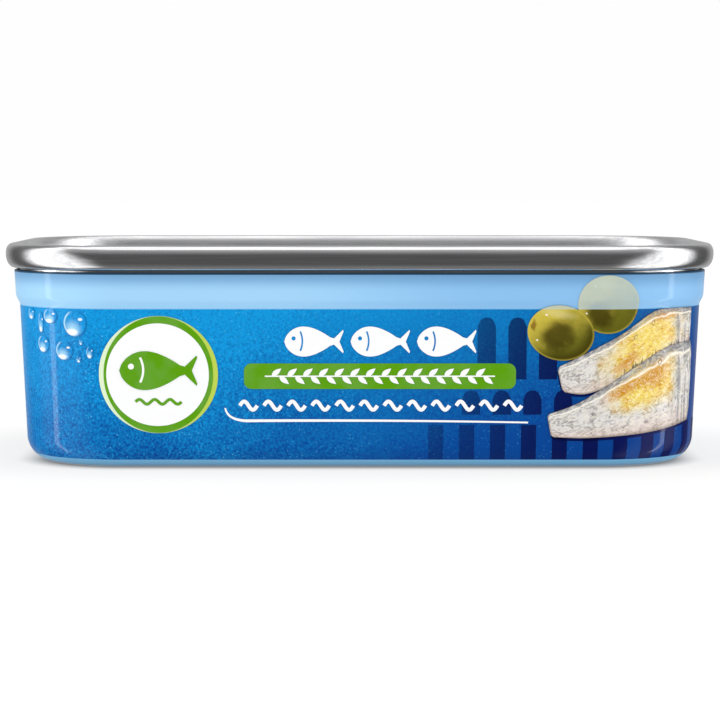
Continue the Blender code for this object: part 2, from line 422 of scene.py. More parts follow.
# Painted shade: the dark crevice under the lid's seam
CREVICE_SHADE = linear(24, 26, 30)
OLIVE_LIGHT = linear(208, 188, 72)
OLIVE_GREEN = linear(104, 102, 24)
OLIVE_DARK = linear(62, 54, 2)
OLIVE_EYE = linear(128, 92, 22)
OLIVE_SHINE = linear(240, 234, 186)
FISH_SILVER = linear(222, 220, 220)
FISH_GREY = linear(124, 126, 134)
FISH_CREAM = linear(232, 222, 200)
FISH_PINK = linear(218, 186, 174)
FISH_GOLD = linear(246, 220, 96)
FISH_AMBER = linear(206, 138, 14)
FISH_HONEY = linear(216, 162, 34)
FISH_BROWN = linear(104, 84, 66)
FISH_DARK = linear(52, 42, 34)
FISH_SHINE = linear(254, 248, 232)
DROP_LIGHT = linear(176, 224, 248)
DROP_RIM = linear(196, 236, 252)
DROP_DARK = linear(4, 76, 150)
METAL = linear(226, 226, 227)
METAL_DULL = linear(208, 208, 210)

BAND_BORDER = 23.07 * MM
FOOT_BORDER = 1.25 * MM
BORDER_BLUR = 0.03 * MM
WRAP_REACH = 10 * MM
# Heights of the painted shade line under the seam
PAINTED_SEAM_SHADE_LOW = 27.97 * MM
PAINTED_SEAM_SHADE_HIGH = 28.08 * MM
TONE_LEFT = -24 * MM
TONE_ACROSS = 11.2
TONE_UPWARD = 31.0

# Scales of the noise, for each metre
CLOUD_SCALE = 130.0
PATCH_SCALE = 240.0
GRAIN_SCALE = 2800.0
SPECK_SCALE = 2900.0
SMUDGE_SCALE = 90.0
WAVE_SCALE = 60.0
PEEL_SCALE = 900.0
ROLLED_GRAIN = (60, 2600, 2600)


def new_material(name):
    material = bpy.data.materials.new(name)
    material.use_nodes = True
    return material, Graph(material.node_tree, material.node_tree.nodes["Principled BSDF"])


def lacquer(name, paint, band_veil=0.9, veil_color=None):
    """Glossy printed metal. paint(graph) gives the colour, under a veil in the band and at the foot, with a
    painted shade line at the top, just under the seam.
    """
    material, graph = new_material(name)
    vector, x, y, z = graph.place()
    band = graph.fade(z, BAND_BORDER - BORDER_BLUR, BAND_BORDER + BORDER_BLUR, band_veil)
    color = graph.mix(band, paint(graph), veil_color or band_paint(graph, graph.along(x, y), z))
    foot = graph.fade(z, FOOT_BORDER + BORDER_BLUR, FOOT_BORDER - BORDER_BLUR, 0.94)
    color = graph.mix(foot, color, FOOT_PALE)
    # Painted shade: a dark line at the top of the collar, just under the seam
    color = graph.mix(graph.fade(z, PAINTED_SEAM_SHADE_LOW, PAINTED_SEAM_SHADE_HIGH), color, PAINTED_SEAM_SHADE)
    graph.dial("Base Color", color)
    wave = graph.noise(vector, WAVE_SCALE)
    graph.dial("Roughness", graph.fade(wave, 0.3, 0.7, 0.4, 0.3))
    graph.dial("Specular IOR Level", 0.05)
    graph.dial("Coat Weight", 0.22)
    graph.dial("Coat Roughness", 0.04)
    graph.dial("Normal", graph.bump(graph.noise(vector, PEEL_SCALE), 0.002 * MM))
    return material


def band_paint(graph, x, z):
    """The pale band under the seam, deeper to the right, darkened by painted shade towards the seam above it,
    with a line along its border.
    """
    color = graph.mix(graph.fade(x, -14 * MM, 20 * MM), BAND_PALE, BAND_DEEPER)
    # Painted shade: the band darkens towards the seam above it
    color = graph.mix(graph.fade(z, 25.6 * MM, 27.9 * MM, 0.75), color, PAINTED_BAND_SHADE)
    color = graph.mix(graph.fade(z, 24.6 * MM, BAND_BORDER, 0.3), color, BAND_DEEPER)
    return graph.mix(graph.fade(z, BAND_BORDER + 0.2 * MM, BAND_BORDER, 0.5), color, BAND_LINE)


def field_tone(graph, x, z):
    """1 at the upper left of the field and 0 at its lower right."""
    near = graph.larger(x, TONE_LEFT)
    across = graph.ramped(near, -TONE_ACROSS, 0.245)
    upward = graph.ramped(z, TONE_UPWARD, -0.124)
    return graph.plus(across, upward)


def field_paint(graph, navy=0.0):
    """The deep blue field: brighter at the upper left, with soft clouds, fine grain and light specks."""
    vector, x, y, z = graph.place()
    x = graph.along(x, y)
    lively = graph.fade(x, 8 * MM, -26 * MM, 1.0, 0.35)
    clouds = graph.ramped(graph.noise(vector, CLOUD_SCALE, 3.0), 0.6, -0.36)
    grain = graph.ramped(graph.noise(vector, GRAIN_SCALE), 1.7, -0.85)
    texture = graph.times(graph.plus(clouds, grain), lively)
    tone = graph.plus(field_tone(graph, x, z), texture, clamp=True)
    tone = graph.math("POWER", tone, 1.2)
    color = graph.mix(tone, FIELD_DEEP, FIELD_BRIGHT)
    chance, distance = graph.cells(vector, SPECK_SCALE)
    lit = graph.fade(chance, 0.74, 0.98, 0.9)
    patchy = graph.fade(graph.noise(vector, PATCH_SCALE), 0.4, 0.6, 1.0, 0.2)
    specks = graph.times(lit, graph.fade(distance, 0.5, 0.1), patchy, lively)
    color = graph.mix(specks, color, FIELD_SPARKLE)
    color = graph.mix(graph.fade(x, 24 * MM, 44 * MM, 0.3), color, FIELD_NAVY)
    return graph.mix(navy, color, FIELD_NAVY)


def metal(name, roughness=0.16, seamed=False):
    """Bare bright sheet with a fine grain along X. A lid gets painted shade in the crevice under its seam,
    and is satin within it.
    """
    material, graph = new_material(name)
    vector, x, y, z = graph.place()
    grain = graph.noise(graph.scaled(vector, ROLLED_GRAIN), 1.0, 3.0)
    smudge = graph.noise(vector, SMUDGE_SCALE)
    color = graph.mix(graph.fade(grain, 0.3, 0.7), METAL, METAL_DULL)
    if seamed:
        # Painted shade: the lid is dark at its underside under the seam, in the crevice above the collar
        near = graph.fade(graph.size(graph.minus(z, LID_Z)), 0.1 * MM, 0.04 * MM)
        color = graph.mix(near, color, CREVICE_SHADE)
        inside = graph.fade(graph.beyond(x, y, SEAM_SHOULDER), -0.1 * MM, -0.6 * MM)
        top = graph.fade(z, LID_Z, LID_Z + 0.1 * MM)
        roughness = graph.ramped(graph.times(inside, top), 0.24, roughness)
    graph.dial("Base Color", color)
    graph.dial("Metallic", 1.0)
    smudged = graph.plus(graph.fade(smudge, 0.3, 0.7, 0.04), roughness)
    blur = graph.plus(graph.fade(grain, 0.3, 0.7, 0.02, -0.02), smudged)
    graph.dial("Roughness", blur)
    graph.dial("Normal", graph.bump(grain, 0.0006 * MM))
    return material


# Pieces of the tin


def dress(piece, slot, *nodes):
    """Every piece rides on the tin's one body and hides the solids it stands for. slot is not used."""
    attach(piece, "root")
    if nodes:
        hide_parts(*nodes)
    return piece


def make_can(print_material, base_material):
    """The printed wall and, as a piece of its own, the bare base set in its foot."""
    upper = walk(
        (COLLAR_INSET + RIM_WIDTH, LID_Z - LID_PLUG_DEPTH - FIT_GAP),
        straight(0, LID_PLUG_DEPTH),
        straight(COLLAR_EDGE - RIM_WIDTH, 0),
        levelling(-COLLAR_EDGE, -COLLAR_EDGE, 4),
        straight(COLLAR_DRAFT, STEP_TOP - CAN_TOP + COLLAR_EDGE, 4),
        s_bend(STEP_INSET, STEP_BOTTOM - STEP_TOP, 16),
        straight(WALL_DRAFT, FOOT_RADIUS - STEP_BOTTOM, 12),
    )
    foot = walk(upper[-1], rounding(FOOT_RADIUS, -FOOT_RADIUS, 28))
    shown = [point for point in foot if point[1] > BASE_EDGE_HEIGHT]
    hidden = [point for point in foot if point[1] <= BASE_EDGE_HEIGHT]
    edge = shown[-1]
    inner = (edge[0] + BURIED, BASE_RECESS + 2 * BURIED)
    shell = add_mesh("can_shell", loft(loft_profile(upper + shown[1:] + [inner])), print_material)

    base = walk(
        hidden[-1],
        straight(FOOT_LAND, 0),
        ramp(BASE_RECESS_EDGE, BASE_RECESS),
        straight(BASE_BEAD_INSET, 0),
        ramp(BASE_BEAD_WIDTH / 2, -BASE_BEAD_RISE),
        ramp(BASE_BEAD_WIDTH / 2, BASE_BEAD_RISE),
    )
    top = (edge[0] + BURIED, BASE_RECESS + BURIED)
    plate = add_mesh("can_base", loft(loft_profile([top, edge] + hidden + base[1:])), base_material)
    dress(shell, "printed_lacquer", "can_body")
    dress(plate, "bright_metal", "can_body")


def panel_height(x, y):
    """Height of the lid's sunk panel, with its raised table, its finger well and the rivet's boss."""
    height = HEIGHT - PANEL_DEPTH
    over_x = abs(x - TABLE_X) - TABLE_LENGTH / 2 + TABLE_RADIUS
    over_y = abs(y) - TABLE_WIDTH / 2 + TABLE_RADIUS
    outside = hypot(max(over_x, 0), max(over_y, 0)) + min(max(over_x, over_y), 0) - TABLE_RADIUS
    height += TABLE_RISE * smooth_step(-outside / TABLE_EDGE)
    in_well = 1 - (2 * (x - WELL_X) / WELL_LENGTH) ** 2 - (2 * y / WELL_WIDTH) ** 2
    height -= WELL_DEPTH * smooth_step(in_well)
    from_boss = hypot(x - RIVET_X, y) - RIVET_BOSS_RADIUS
    height += (PANEL_DEPTH - LAND_DEPTH) * smooth_step(-from_boss / RIVET_BOSS_EDGE)
    return height


def make_lid(material, rivet_material):
    """The seam, the wall and groove inside it, the scored land and the sunk panel."""
    plug_inset = COLLAR_INSET + RIM_WIDTH + FIT_GAP
    under = walk(
        (plug_inset, LID_Z - LID_PLUG_DEPTH),
        straight(0, LID_PLUG_DEPTH),
        straight(SEAM_SHOULDER - plug_inset, 0),
    )
    outside = walk(
        under[-1],
        levelling(-SEAM_SHOULDER, SEAM_LOWER_HEIGHT, 16, SEAM_LOWER_POWER),
        rounding(SEAM_SHOULDER, SEAM_HEIGHT - SEAM_LOWER_HEIGHT, 18, SEAM_UPPER_POWER),
    )
    inside = walk(
        outside[-1],
        levelling(SEAM_INNER_EDGE, -SEAM_INNER_HEIGHT, 14),
        straight(CHUCK_WALL_DRAFT, SEAM_INNER_HEIGHT + GROOVE_RADIUS - GROOVE_DEPTH, 6),
        rounding(GROOVE_RADIUS, -GROOVE_RADIUS, 6),
        levelling(GROOVE_RADIUS, GROOVE_RADIUS, 6),
        straight(0, GROOVE_DEPTH - GROOVE_RADIUS - LAND_DEPTH - LAND_EDGE),
        rounding(LAND_EDGE, LAND_EDGE, 6),
        straight(SCORE_OFFSET, 0),
        ramp(SCORE_WIDTH / 2, -SCORE_DEPTH, 4),
        ramp(SCORE_WIDTH / 2, SCORE_DEPTH, 4),
        straight(LAND_WIDTH - SCORE_OFFSET - SCORE_WIDTH, 0, 6),
        ramp(PANEL_STEP_WIDTH, LAND_DEPTH - PANEL_DEPTH),
    )
    rings = loft_profile(under + outside[1:] + inside[1:])
    border = outline(inside[-1][0])
    spine = DEPTH / 2 - inside[-1][0]
    for i in range(1, PANEL_RINGS + 1):
        share = 1 - i / PANEL_RINGS
        ring = []
        for x, y in border:
            core_x = copysign(max(abs(x) - spine, 0), x)
            flat_x = core_x + (x - core_x) * share
            flat_y = y * share
            ring.append((flat_x, flat_y, panel_height(flat_x, flat_y)))
        rings.append(ring)
    lid = add_mesh("lid_shell", loft(rings, capped=False), material)
    dress(lid, "bright_metal", "lid")

    head_bottom = WEB_THICKNESS + FIT_GAP
    head = walk((-CAP_RADIUS, TAB_THICKNESS), straight(-RIVET_HEAD_RADIUS + RIVET_HEAD_EDGE, 0))
    rim = walk(head[-1], levelling(-RIVET_HEAD_EDGE, -RIVET_HEAD_EDGE, 6))
    neck = [(-RIVET_HEAD_RADIUS, head_bottom), (-RIVET_STEM_RADIUS, head_bottom)]
    neck += [(-RIVET_STEM_RADIUS, -FIT_GAP - BURIED)]
    profile = [(-inset, z) for inset, z in head + rim[1:] + neck]
    rivet = add_mesh("rivet", turned(profile, RIVET_X, TAB_Z), rivet_material)
    dress(rivet, "bright_metal", "lid")


def belt_outline(near_radius, far_x, far_radius, segments):
    """The outline of a belt round a disc at the origin and a larger one further towards -X."""
    lean = acos((far_radius - near_radius) / -far_x)
    near = [lean * (2 * i / segments - 1) for i in range(segments + 1)]
    far = [lean + 2 * (pi - lean) * i / segments for i in range(segments + 1)]
    return [(near_radius * cos(a), near_radius * sin(a)) for a in near] + [
        (far_x + far_radius * cos(a), far_radius * sin(a)) for a in far
    ]


def circle(center_x, center_y, radius, segments=ROUND_STEPS):
    return [
        (center_x + radius * cos(tau * i / segments), center_y + radius * sin(tau * i / segments))
        for i in range(segments)
    ]


def rolled_plate(name, outlines, thickness, edge):
    """A flat plate with rolled edges, made as a filled 2D curve, as a bmesh on Z = 0."""
    curve = bpy.data.curves.new(name, "CURVE")
    curve.dimensions = "2D"
    curve.fill_mode = "BOTH"
    curve.extrude = thickness / 2 - edge
    curve.bevel_depth = edge
    curve.bevel_resolution = 5
    curve.offset = -edge
    for loop in outlines:
        spline = curve.splines.new("POLY")
        spline.points.add(len(loop) - 1)
        for point, (x, y) in zip(spline.points, loop):
            point.co = (x, y, 0, 1)
        spline.use_cyclic_u = True
    guide = bpy.data.objects.new(name, curve)
    bpy.context.scene.collection.objects.link(guide)
    flat = finished(guide)
    bm = bmesh.new()
    bm.from_mesh(flat)
    bmesh.ops.remove_doubles(bm, verts=bm.verts, dist=MERGE_DISTANCE)
    bmesh.ops.translate(bm, vec=(0, 0, thickness / 2), verts=bm.verts)
    bpy.data.objects.remove(guide)
    bpy.data.curves.remove(curve)
    bpy.data.meshes.remove(flat)
    return bm


def cut(piece, bm, name):
    """Cuts a closed bmesh out of a piece for good."""
    cutter = add_mesh(name, bm, piece.active_material)
    modifier = piece.modifiers.new(name, "BOOLEAN")
    modifier.operation = "DIFFERENCE"
    modifier.object = cutter
    mesh = finished(piece)
    piece.modifiers.clear()
    piece.data = mesh
    bpy.data.objects.remove(cutter)


def make_tab(material):
    """The ring pull: a curled plate with a finger hole and a sunk web round the rivet."""
    outer = belt_outline(TAB_NOSE_RADIUS, -TAB_RING_OFFSET, TAB_RING_RADIUS, ROUND_STEPS)
    hole = circle(-FINGER_HOLE_OFFSET, 0, FINGER_HOLE_RADIUS)
    bm = rolled_plate("tab_outline", [outer, hole], TAB_THICKNESS, TAB_EDGE)
    bmesh.ops.translate(bm, vec=(RIVET_X, 0, TAB_Z), verts=bm.verts)
    tab = add_mesh("tab_ring", bm, material)
    over = TAB_THICKNESS + CUT_MARGIN
    wide = POCKET_RADIUS + POCKET_EDGE
    pocket = [(-CAP_RADIUS, over), (-wide, over), (-wide, TAB_THICKNESS)]
    pocket += walk(pocket[-1], rounding(POCKET_EDGE, -POCKET_EDGE, 5))[1:]
    pocket += [(-POCKET_RADIUS, WEB_THICKNESS + POCKET_EDGE)]
    pocket += walk(pocket[-1], rounding(POCKET_EDGE, -POCKET_EDGE, 5))[1:]
    pocket += [(-RIVET_HOLE_RADIUS, WEB_THICKNESS), (-RIVET_HOLE_RADIUS, -CUT_MARGIN)]
    cut(tab, turned([(-inset, z) for inset, z in pocket], RIVET_X, TAB_Z), "tab_pocket")
    smooth(tab.data, TAB_SHARP_ANGLE)
    dress(tab, "bright_metal", "pull_tab")


# Printed shapes on the wall


PRINT_STEP = 0.035 * MM
PRINT_THICKNESS = 0.03 * MM

# The layout of the print, in millimetres along and up
BAR_ROWS = (
    (4, 16.9, 4.4, 2.6, 13.0, 21.9, True, 12),
    (4, 14.7, 4.4, 2.6, 7.9, 11.4, True, 6),
    (11, 9.85, 4.45, 2.15, 1.3, 6.4, False, 10),
)
BADGE_CENTER = (-28.86, 13.66)
BADGE_GLOW = (8.55, 8.45)
BADGE_RING = (7.85, 8.4)
BADGE_FACE = (7.35, 7.4)
BADGE_FISH = (11.2, 5.2)
HEADLINE = (-10.8, 18.45)
HEADLINE_FISH = (8.5, 4.0)
HEADLINE_STEP = 9.5
WAVES = 12
WAVES_START = (-17.2, 9.2)
WAVE_STEP = 3.45
LEAF_PAIRS = 14
LEAF_SIZE = (1.75, 0.75)
LEAF_TILT = radians(38)
FILLET_GRID = (60, 16)
FISH_BODY = 0.8


def wall_inset(z):
    """The wall's inset from the seam's face at a height."""
    step_inset = COLLAR_INSET + COLLAR_DRAFT
    foot_inset = step_inset + STEP_INSET + WALL_DRAFT
    if z >= STEP_TOP:
        return step_inset - COLLAR_DRAFT * (z - STEP_TOP) / (CAN_TOP - STEP_TOP)
    if z >= STEP_BOTTOM:
        return step_inset + STEP_INSET * (1 - cos(pi * (STEP_TOP - z) / (STEP_TOP - STEP_BOTTOM))) / 2
    if z >= FOOT_RADIUS:
        return foot_inset - WALL_DRAFT * (z - FOOT_RADIUS) / (STEP_BOTTOM - FOOT_RADIUS)
    fall = min(1.0, (FOOT_RADIUS - z) / FOOT_RADIUS)
    return foot_inset + FOOT_RADIUS * (1 - sqrt(1 - fall * fall))


def wall_point(along, up, lift, side=1):
    """The point on the front wall, or with side -1 on the back wall, that lies lift outside it."""
    reach = wall_inset(up) - lift
    if abs(along) <= STRAIGHT_X:
        x, y = along, reach - DEPTH / 2
    else:
        turn = (abs(along) - STRAIGHT_X) / CORNER_WALL_RADIUS
        radius = CORNER_RADIUS - reach
        x = copysign(STRAIGHT_X + radius * sin(turn), along)
        y = -STRAIGHT_Y - radius * cos(turn)
    return (side * x, side * y, up)


class Prints:
    """Gathers printed shapes of one material in one mesh, on both long walls, each with its own map."""

    def __init__(self, name, layer, material):
        self.name = name
        self.lift = layer * PRINT_STEP
        self.material = material
        self.bm = bmesh.new()
        self.map = self.bm.loops.layers.uv.new(SHAPE_MAP)

    def face(self, corners):
        verts, places = zip(*corners)
        face = self.bm.faces.new(verts)
        for loop, place in zip(face.loops, places):
            loop[self.map].uv = place

    def flat(self, outline_mm):
        """A small shape on the straight part of the wall, from its outline in millimetres."""
        lows = [min(point[k] for point in outline_mm) for k in (0, 1)]
        spans = [max(point[k] for point in outline_mm) - lows[k] for k in (0, 1)]
        for side in (1, -1):
            self.face([
                (
                    self.bm.verts.new(wall_point(along * MM, up * MM, self.lift, side)),
                    ((along - lows[0]) / spans[0], (up - lows[1]) / spans[1]),
                )
                for along, up in outline_mm
            ])

    def grid(self, shape, columns, rows):
        """A shape that may turn a corner. shape(u, v) gives a place in mm and may give one on the map."""
        for side in (1, -1):
            table = []
            for i in range(columns + 1):
                column = []
                for j in range(rows + 1):
                    u, v = i / columns, j / rows
                    along, up, *place = shape(u, v)
                    point = wall_point(along * MM, up * MM, self.lift, side)
                    column.append((self.bm.verts.new(point), place or (u, v)))
                table.append(column)
            for first, second in zip(table, table[1:]):
                for j in range(rows):
                    self.face((first[j], second[j], second[j + 1], first[j + 1]))

    def done(self):
        bmesh.ops.remove_doubles(self.bm, verts=self.bm.verts, dist=MERGE_DISTANCE)
        mesh = bpy.data.meshes.new(self.name)
        self.bm.to_mesh(mesh)
        self.bm.free()
        piece = add_object(self.name, mesh, self.material)
        skin = piece.modifiers.new("thickness", "SOLIDIFY")
        skin.thickness = PRINT_THICKNESS
        skin.offset = -1.0
        thick = finished(piece)
        piece.modifiers.clear()
        piece.data = thick
        smooth(thick)
        return dress(piece, "printed_lacquer")


def print_shape(name, layer, material, shape, columns=30, rows=30):
    """A piece of one printed shape."""
    piece = Prints(name, layer, material)
    piece.grid(shape, columns, rows)
    piece.done()


def rounded_bar(low, high, radius, segments=8):
    """The outline of a level bar with round corners between two places."""
    (left, bottom), (right, top) = low, high
    loop = []
    corners = [(right, bottom, 1, -1), (right, top, 1, 1), (left, top, -1, 1), (left, bottom, -1, -1)]
    for quarter, (x, y, side_x, side_y) in enumerate(corners):
        for i in range(segments + 1):
            a = pi / 2 * (quarter - 1 + i / segments)
            loop.append((x - side_x * radius + radius * cos(a), y - side_y * radius + radius * sin(a)))
    return loop


def oval(center, radius_x, radius_y, tilt=0.0):
    """A full oval as a square grid, for shapes that may turn a corner."""
    def shape(u, v):
        a, b = 2 * u - 1, 2 * v - 1
        a, b = a * sqrt(1 - b * b / 2), b * sqrt(1 - a * a / 2)
        x, y = radius_x * a, radius_y * b
        along = center[0] + x * cos(tilt) - y * sin(tilt)
        up = center[1] + x * sin(tilt) + y * cos(tilt)
        return along, up, (1 + a) / 2, (1 + b) / 2
    return shape


def upright_bar(low, high, round_top=True):
    """An upright bar with a round upper end, as a grid."""
    half = (high[0] - low[0]) / 2
    middle = (high[0] + low[0]) / 2
    def shape(u, v):
        across = 2 * u - 1
        cap = half * (1 - sqrt(max(0.0, 1 - across * across))) if round_top else 0.0
        return middle + half * across, low[1] + (high[1] - low[1] - cap) * v
    return shape


def bezier(start, pull, end):
    """A bend from start to end that leans towards pull."""
    def path(u):
        a, b, c = (1 - u) ** 2, 2 * u * (1 - u), u * u
        return tuple(a * start[k] + b * pull[k] + c * end[k] for k in (0, 1))
    return path


def ribbon(path, half_width):
    """A band along a path, half_width(u) to each side of it."""
    def shape(u, v):
        (x0, y0), (x1, y1) = path(max(0.0, u - 0.01)), path(min(1.0, u + 0.01))
        length = hypot(x1 - x0, y1 - y0)
        x, y = path(u)
        reach = half_width(u) * (2 * v - 1)
        return x - (y1 - y0) / length * reach, y + (x1 - x0) / length * reach
    return shape


def spline(points):
    """A smooth path through a row of places."""
    def path(u):
        reach = u * (len(points) - 1)
        i = min(int(reach), len(points) - 2)
        t = reach - i
        a, b, c, d = (points[min(max(k, 0), len(points) - 1)] for k in (i - 1, i, i + 1, i + 2))
        return tuple(
            b[k] + t / 2 * (c[k] - a[k] + t * (2 * a[k] - 5 * b[k] + 4 * c[k] - d[k]
            + t * (3 * (b[k] - c[k]) + d[k] - a[k]))) for k in (0, 1)
        )
    return path


def between(lower, upper, blunt_start=0.7, blunt_end=0.7):
    """A shape between two paths, with its ends' corners rounded off."""
    def shape(u, v):
        (x0, y0), (x1, y1) = lower(u), upper(u)
        blunt = min(1.0, blunt_start + 9 * u, blunt_end + 9 * (1 - u))
        share = 0.5 + (v - 0.5) * blunt
        return x0 + (x1 - x0) * share, y0 + (y1 - y0) * share
    return shape


def moved(shape, along, up):
    """A shape set off by a step."""
    def place(u, v):
        x, y = shape(u, v)[:2]
        return x + along, y + up
    return place


def fish_outline(nose, length, height, segments=28):
    """The outline of a plain fish that swims towards -X."""
    shares = [i / segments for i in range(1, segments)]
    upper = [(FISH_BODY * s, sin(pi * s ** 0.72) ** 0.85 / 2 + 0.1 * s) for s in shares]
    tail = [(0.84, 0.11), (0.99, 0.42), (1, 0.36), (0.93, 0), (1, -0.36), (0.99, -0.42), (0.84, -0.11)]
    lower = [(x, -y) for x, y in reversed(upper)]
    return [(nose[0] + length * x, nose[1] + height * y) for x, y in [(0, 0)] + upper + tail + lower]


def leaf_outline(base, length, width, tilt, segments=10):
    """The outline of a pointed leaf that grows from its base."""
    shares = [i / segments for i in range(segments + 1)]
    edge = [(length * s, width / 2 * sin(pi * s ** 0.8)) for s in shares]
    loop = edge + [(x, -y) for x, y in reversed(edge[1:-1])]
    return [
        (base[0] + x * cos(tilt) - y * sin(tilt), base[1] + x * sin(tilt) + y * cos(tilt)) for x, y in loop
    ]


def plain_paint(color, cloud=0.05):
    """An even ink with faint clouds."""
    def paint(graph):
        vector, *_ = graph.place()
        clouds = graph.fade(graph.noise(vector, 300.0), 0.35, 0.65, cloud)
        return graph.mix(clouds, color, WHITE)
    return paint


def glow_paint(graph):
    """The seal's outer edge, whitish at its left and lime at its right."""
    _, u, _ = graph.local()
    return graph.mix(graph.fade(u, 0.1, 0.95), BADGE_PALE, BADGE_LIME)


def navy_paint(graph):
    """The field's own paint, darkened, and more so towards the right."""
    _, x, y, _ = graph.place()
    return field_paint(graph, graph.fade(graph.along(x, y), 2 * MM, 32 * MM, 0.96, 0.35))


def olive_paint(window, eye, low_shade):
    """A glossy green olive, yellow towards its upper left, with a soft dark window and a brown eye."""
    def paint(graph):
        vector, u, v = graph.local()
        wander = graph.ramped(graph.noise(vector, 4.0, 3.0), 0.7, -0.35)
        lit = graph.plus(graph.minus(graph.times(v, 1.1), u), wander)
        color = graph.mix(graph.fade(lit, -0.45, 0.75), OLIVE_GREEN, OLIVE_LIGHT)
        dark = graph.plus(graph.spot(u, v, *window), wander)
        color = graph.mix(graph.fade(dark, 1.3, 0.5, 0.85), color, OLIVE_DARK)
        rim = graph.spot(u, v, 0.5, 0.5, 0.5, 0.5)
        low = graph.minus(u, v)
        shade = graph.times(graph.fade(rim, 0.5, 0.95), graph.fade(low, -0.05, 0.5))
        color = graph.mix(graph.times(shade, low_shade), color, OLIVE_DARK)
        color = graph.mix(graph.fade(rim, 0.92, 0.985, 0.4), color, OLIVE_LIGHT)
        wrinkle = graph.noise(graph.scaled(vector, (22.0, 9.0, 1.0)), 1.0)
        wrinkle = graph.ramped(wrinkle, 1.8, -0.9)
        stalk = graph.plus(graph.spot(u, v, *eye), wrinkle)
        color = graph.mix(graph.fade(stalk, 1.2, 0.6, 0.8), color, OLIVE_EYE)
        sheen = graph.spot(u, v, 0.4, 0.84, 0.3, 0.09)
        color = graph.mix(graph.fade(sheen, 1.3, 0.2, 0.26), color, OLIVE_SHINE)
        for glint in ((0.24, 0.78, 0.022, 0.018), (0.17, 0.3, 0.018, 0.016)):
            color = graph.mix(graph.fade(graph.spot(u, v, *glint), 1.3, 0.4, 0.9), color, FISH_SHINE)
        return color
    return paint


def fillet_paint(flesh, ambers, oils, bristle):
    """A silvery fillet: golden flesh with amber dabs, a streaked broad end, drops of oil and dark bristle."""
    def paint(graph):
        vector, u, v = graph.local()
        place = graph.scaled(vector, (24.0, 7.0, 1.0))
        folds = graph.noise(graph.scaled(place, (0.8, 1.5, 1.0)), 0.8, 3.0, 2.6)
        fine = graph.noise(graph.scaled(place, (1.0, 1.8, 1.0)), 1.7, 3.0, 1.4)
        clouds = graph.noise(place, 0.4, 2.0)
        rough = graph.ramped(clouds, 1.2, -0.6)
        crumb = graph.ramped(fine, 0.9, -0.45)
        silver = graph.plus(folds, graph.times(rough, 0.5))
        color = graph.mix(graph.fade(silver, 0.28, 0.58), FISH_GREY, FISH_SILVER)
        color = graph.mix(graph.fade(fine, 0.4, 0.65, 0.5), color, FISH_CREAM)
        color = graph.mix(graph.fade(v, 0.34, 0.02, 0.45), color, FISH_PINK)
        golden = graph.plus(graph.spot(u, v, *flesh), graph.plus(rough, crumb))
        yellow = graph.plus(fine, graph.times(rough, 0.5))
        gold = graph.mix(graph.fade(yellow, 0.28, 0.58), FISH_HONEY, FISH_GOLD)
        color = graph.mix(graph.fade(golden, 1.35, 0.45, 0.97), color, gold)
        for amber in ambers:
            dab = graph.plus(graph.spot(u, v, *amber), crumb)
            color = graph.mix(graph.fade(dab, 1.3, 0.2, 0.9), color, FISH_AMBER)
        streaks = graph.noise(graph.scaled(place, (1.3, 0.16, 1.0)), 1.0, 2.0)
        tail = graph.fade(graph.ramped(rough, 0.2, u), 0.76, 0.9)
        color = graph.mix(graph.times(tail, graph.fade(streaks, 0.44, 0.6), 0.75), color, FISH_GREY)
        wrinkle = graph.noise(graph.scaled(place, (0.7, 1.3, 1.0)), 0.9, 4.0, 3.2)
        bright = graph.size(graph.minus(wrinkle, 0.53))
        color = graph.mix(graph.fade(bright, 0.04, 0.004, 0.55), color, FISH_SHINE)
        creases = graph.size(graph.minus(wrinkle, 0.45))
        color = graph.mix(graph.fade(creases, 0.022, 0.003, 0.22), color, FISH_BROWN)
        top = graph.times(graph.fade(v, 0.84, 0.95), graph.fade(folds, 0.4, 0.6, 0.3, 0.9))
        color = graph.mix(top, color, FISH_GREY)
        ridge = graph.size(graph.minus(graph.ramped(rough, 0.12, v), 0.86))
        color = graph.mix(graph.fade(ridge, 0.03, 0.006, 0.75), color, FISH_SHINE)
        for oil in oils:
            bead = graph.spot(u, v, *oil)
            ring = graph.times(graph.fade(bead, 0.5, 0.9), graph.fade(bead, 1.35, 1.0))
            color = graph.mix(graph.times(ring, 0.6), color, FISH_BROWN)
            color = graph.mix(graph.fade(bead, 0.45, 0.15, 0.8), color, FISH_SHINE)
        if bristle:
            comb = graph.noise(graph.scaled(place, (3.0, 0.5, 1.0)), 1.0, 2.0)
            low = graph.plus(v, graph.ramped(comb, -0.6, 0.3))
            fringe = graph.times(graph.fade(low, bristle, bristle - 0.14), graph.fade(u, 0.3, 0.5))
            color = graph.mix(graph.times(fringe, 0.9), color, FISH_DARK)
        edge = graph.larger(graph.fade(v, 0.97, 1.0), graph.fade(v, 0.07, 0.0))
        edge = graph.larger(edge, graph.fade(u, 0.025, 0.0))
        return graph.mix(graph.times(edge, 0.6), color, FISH_BROWN)
    return paint


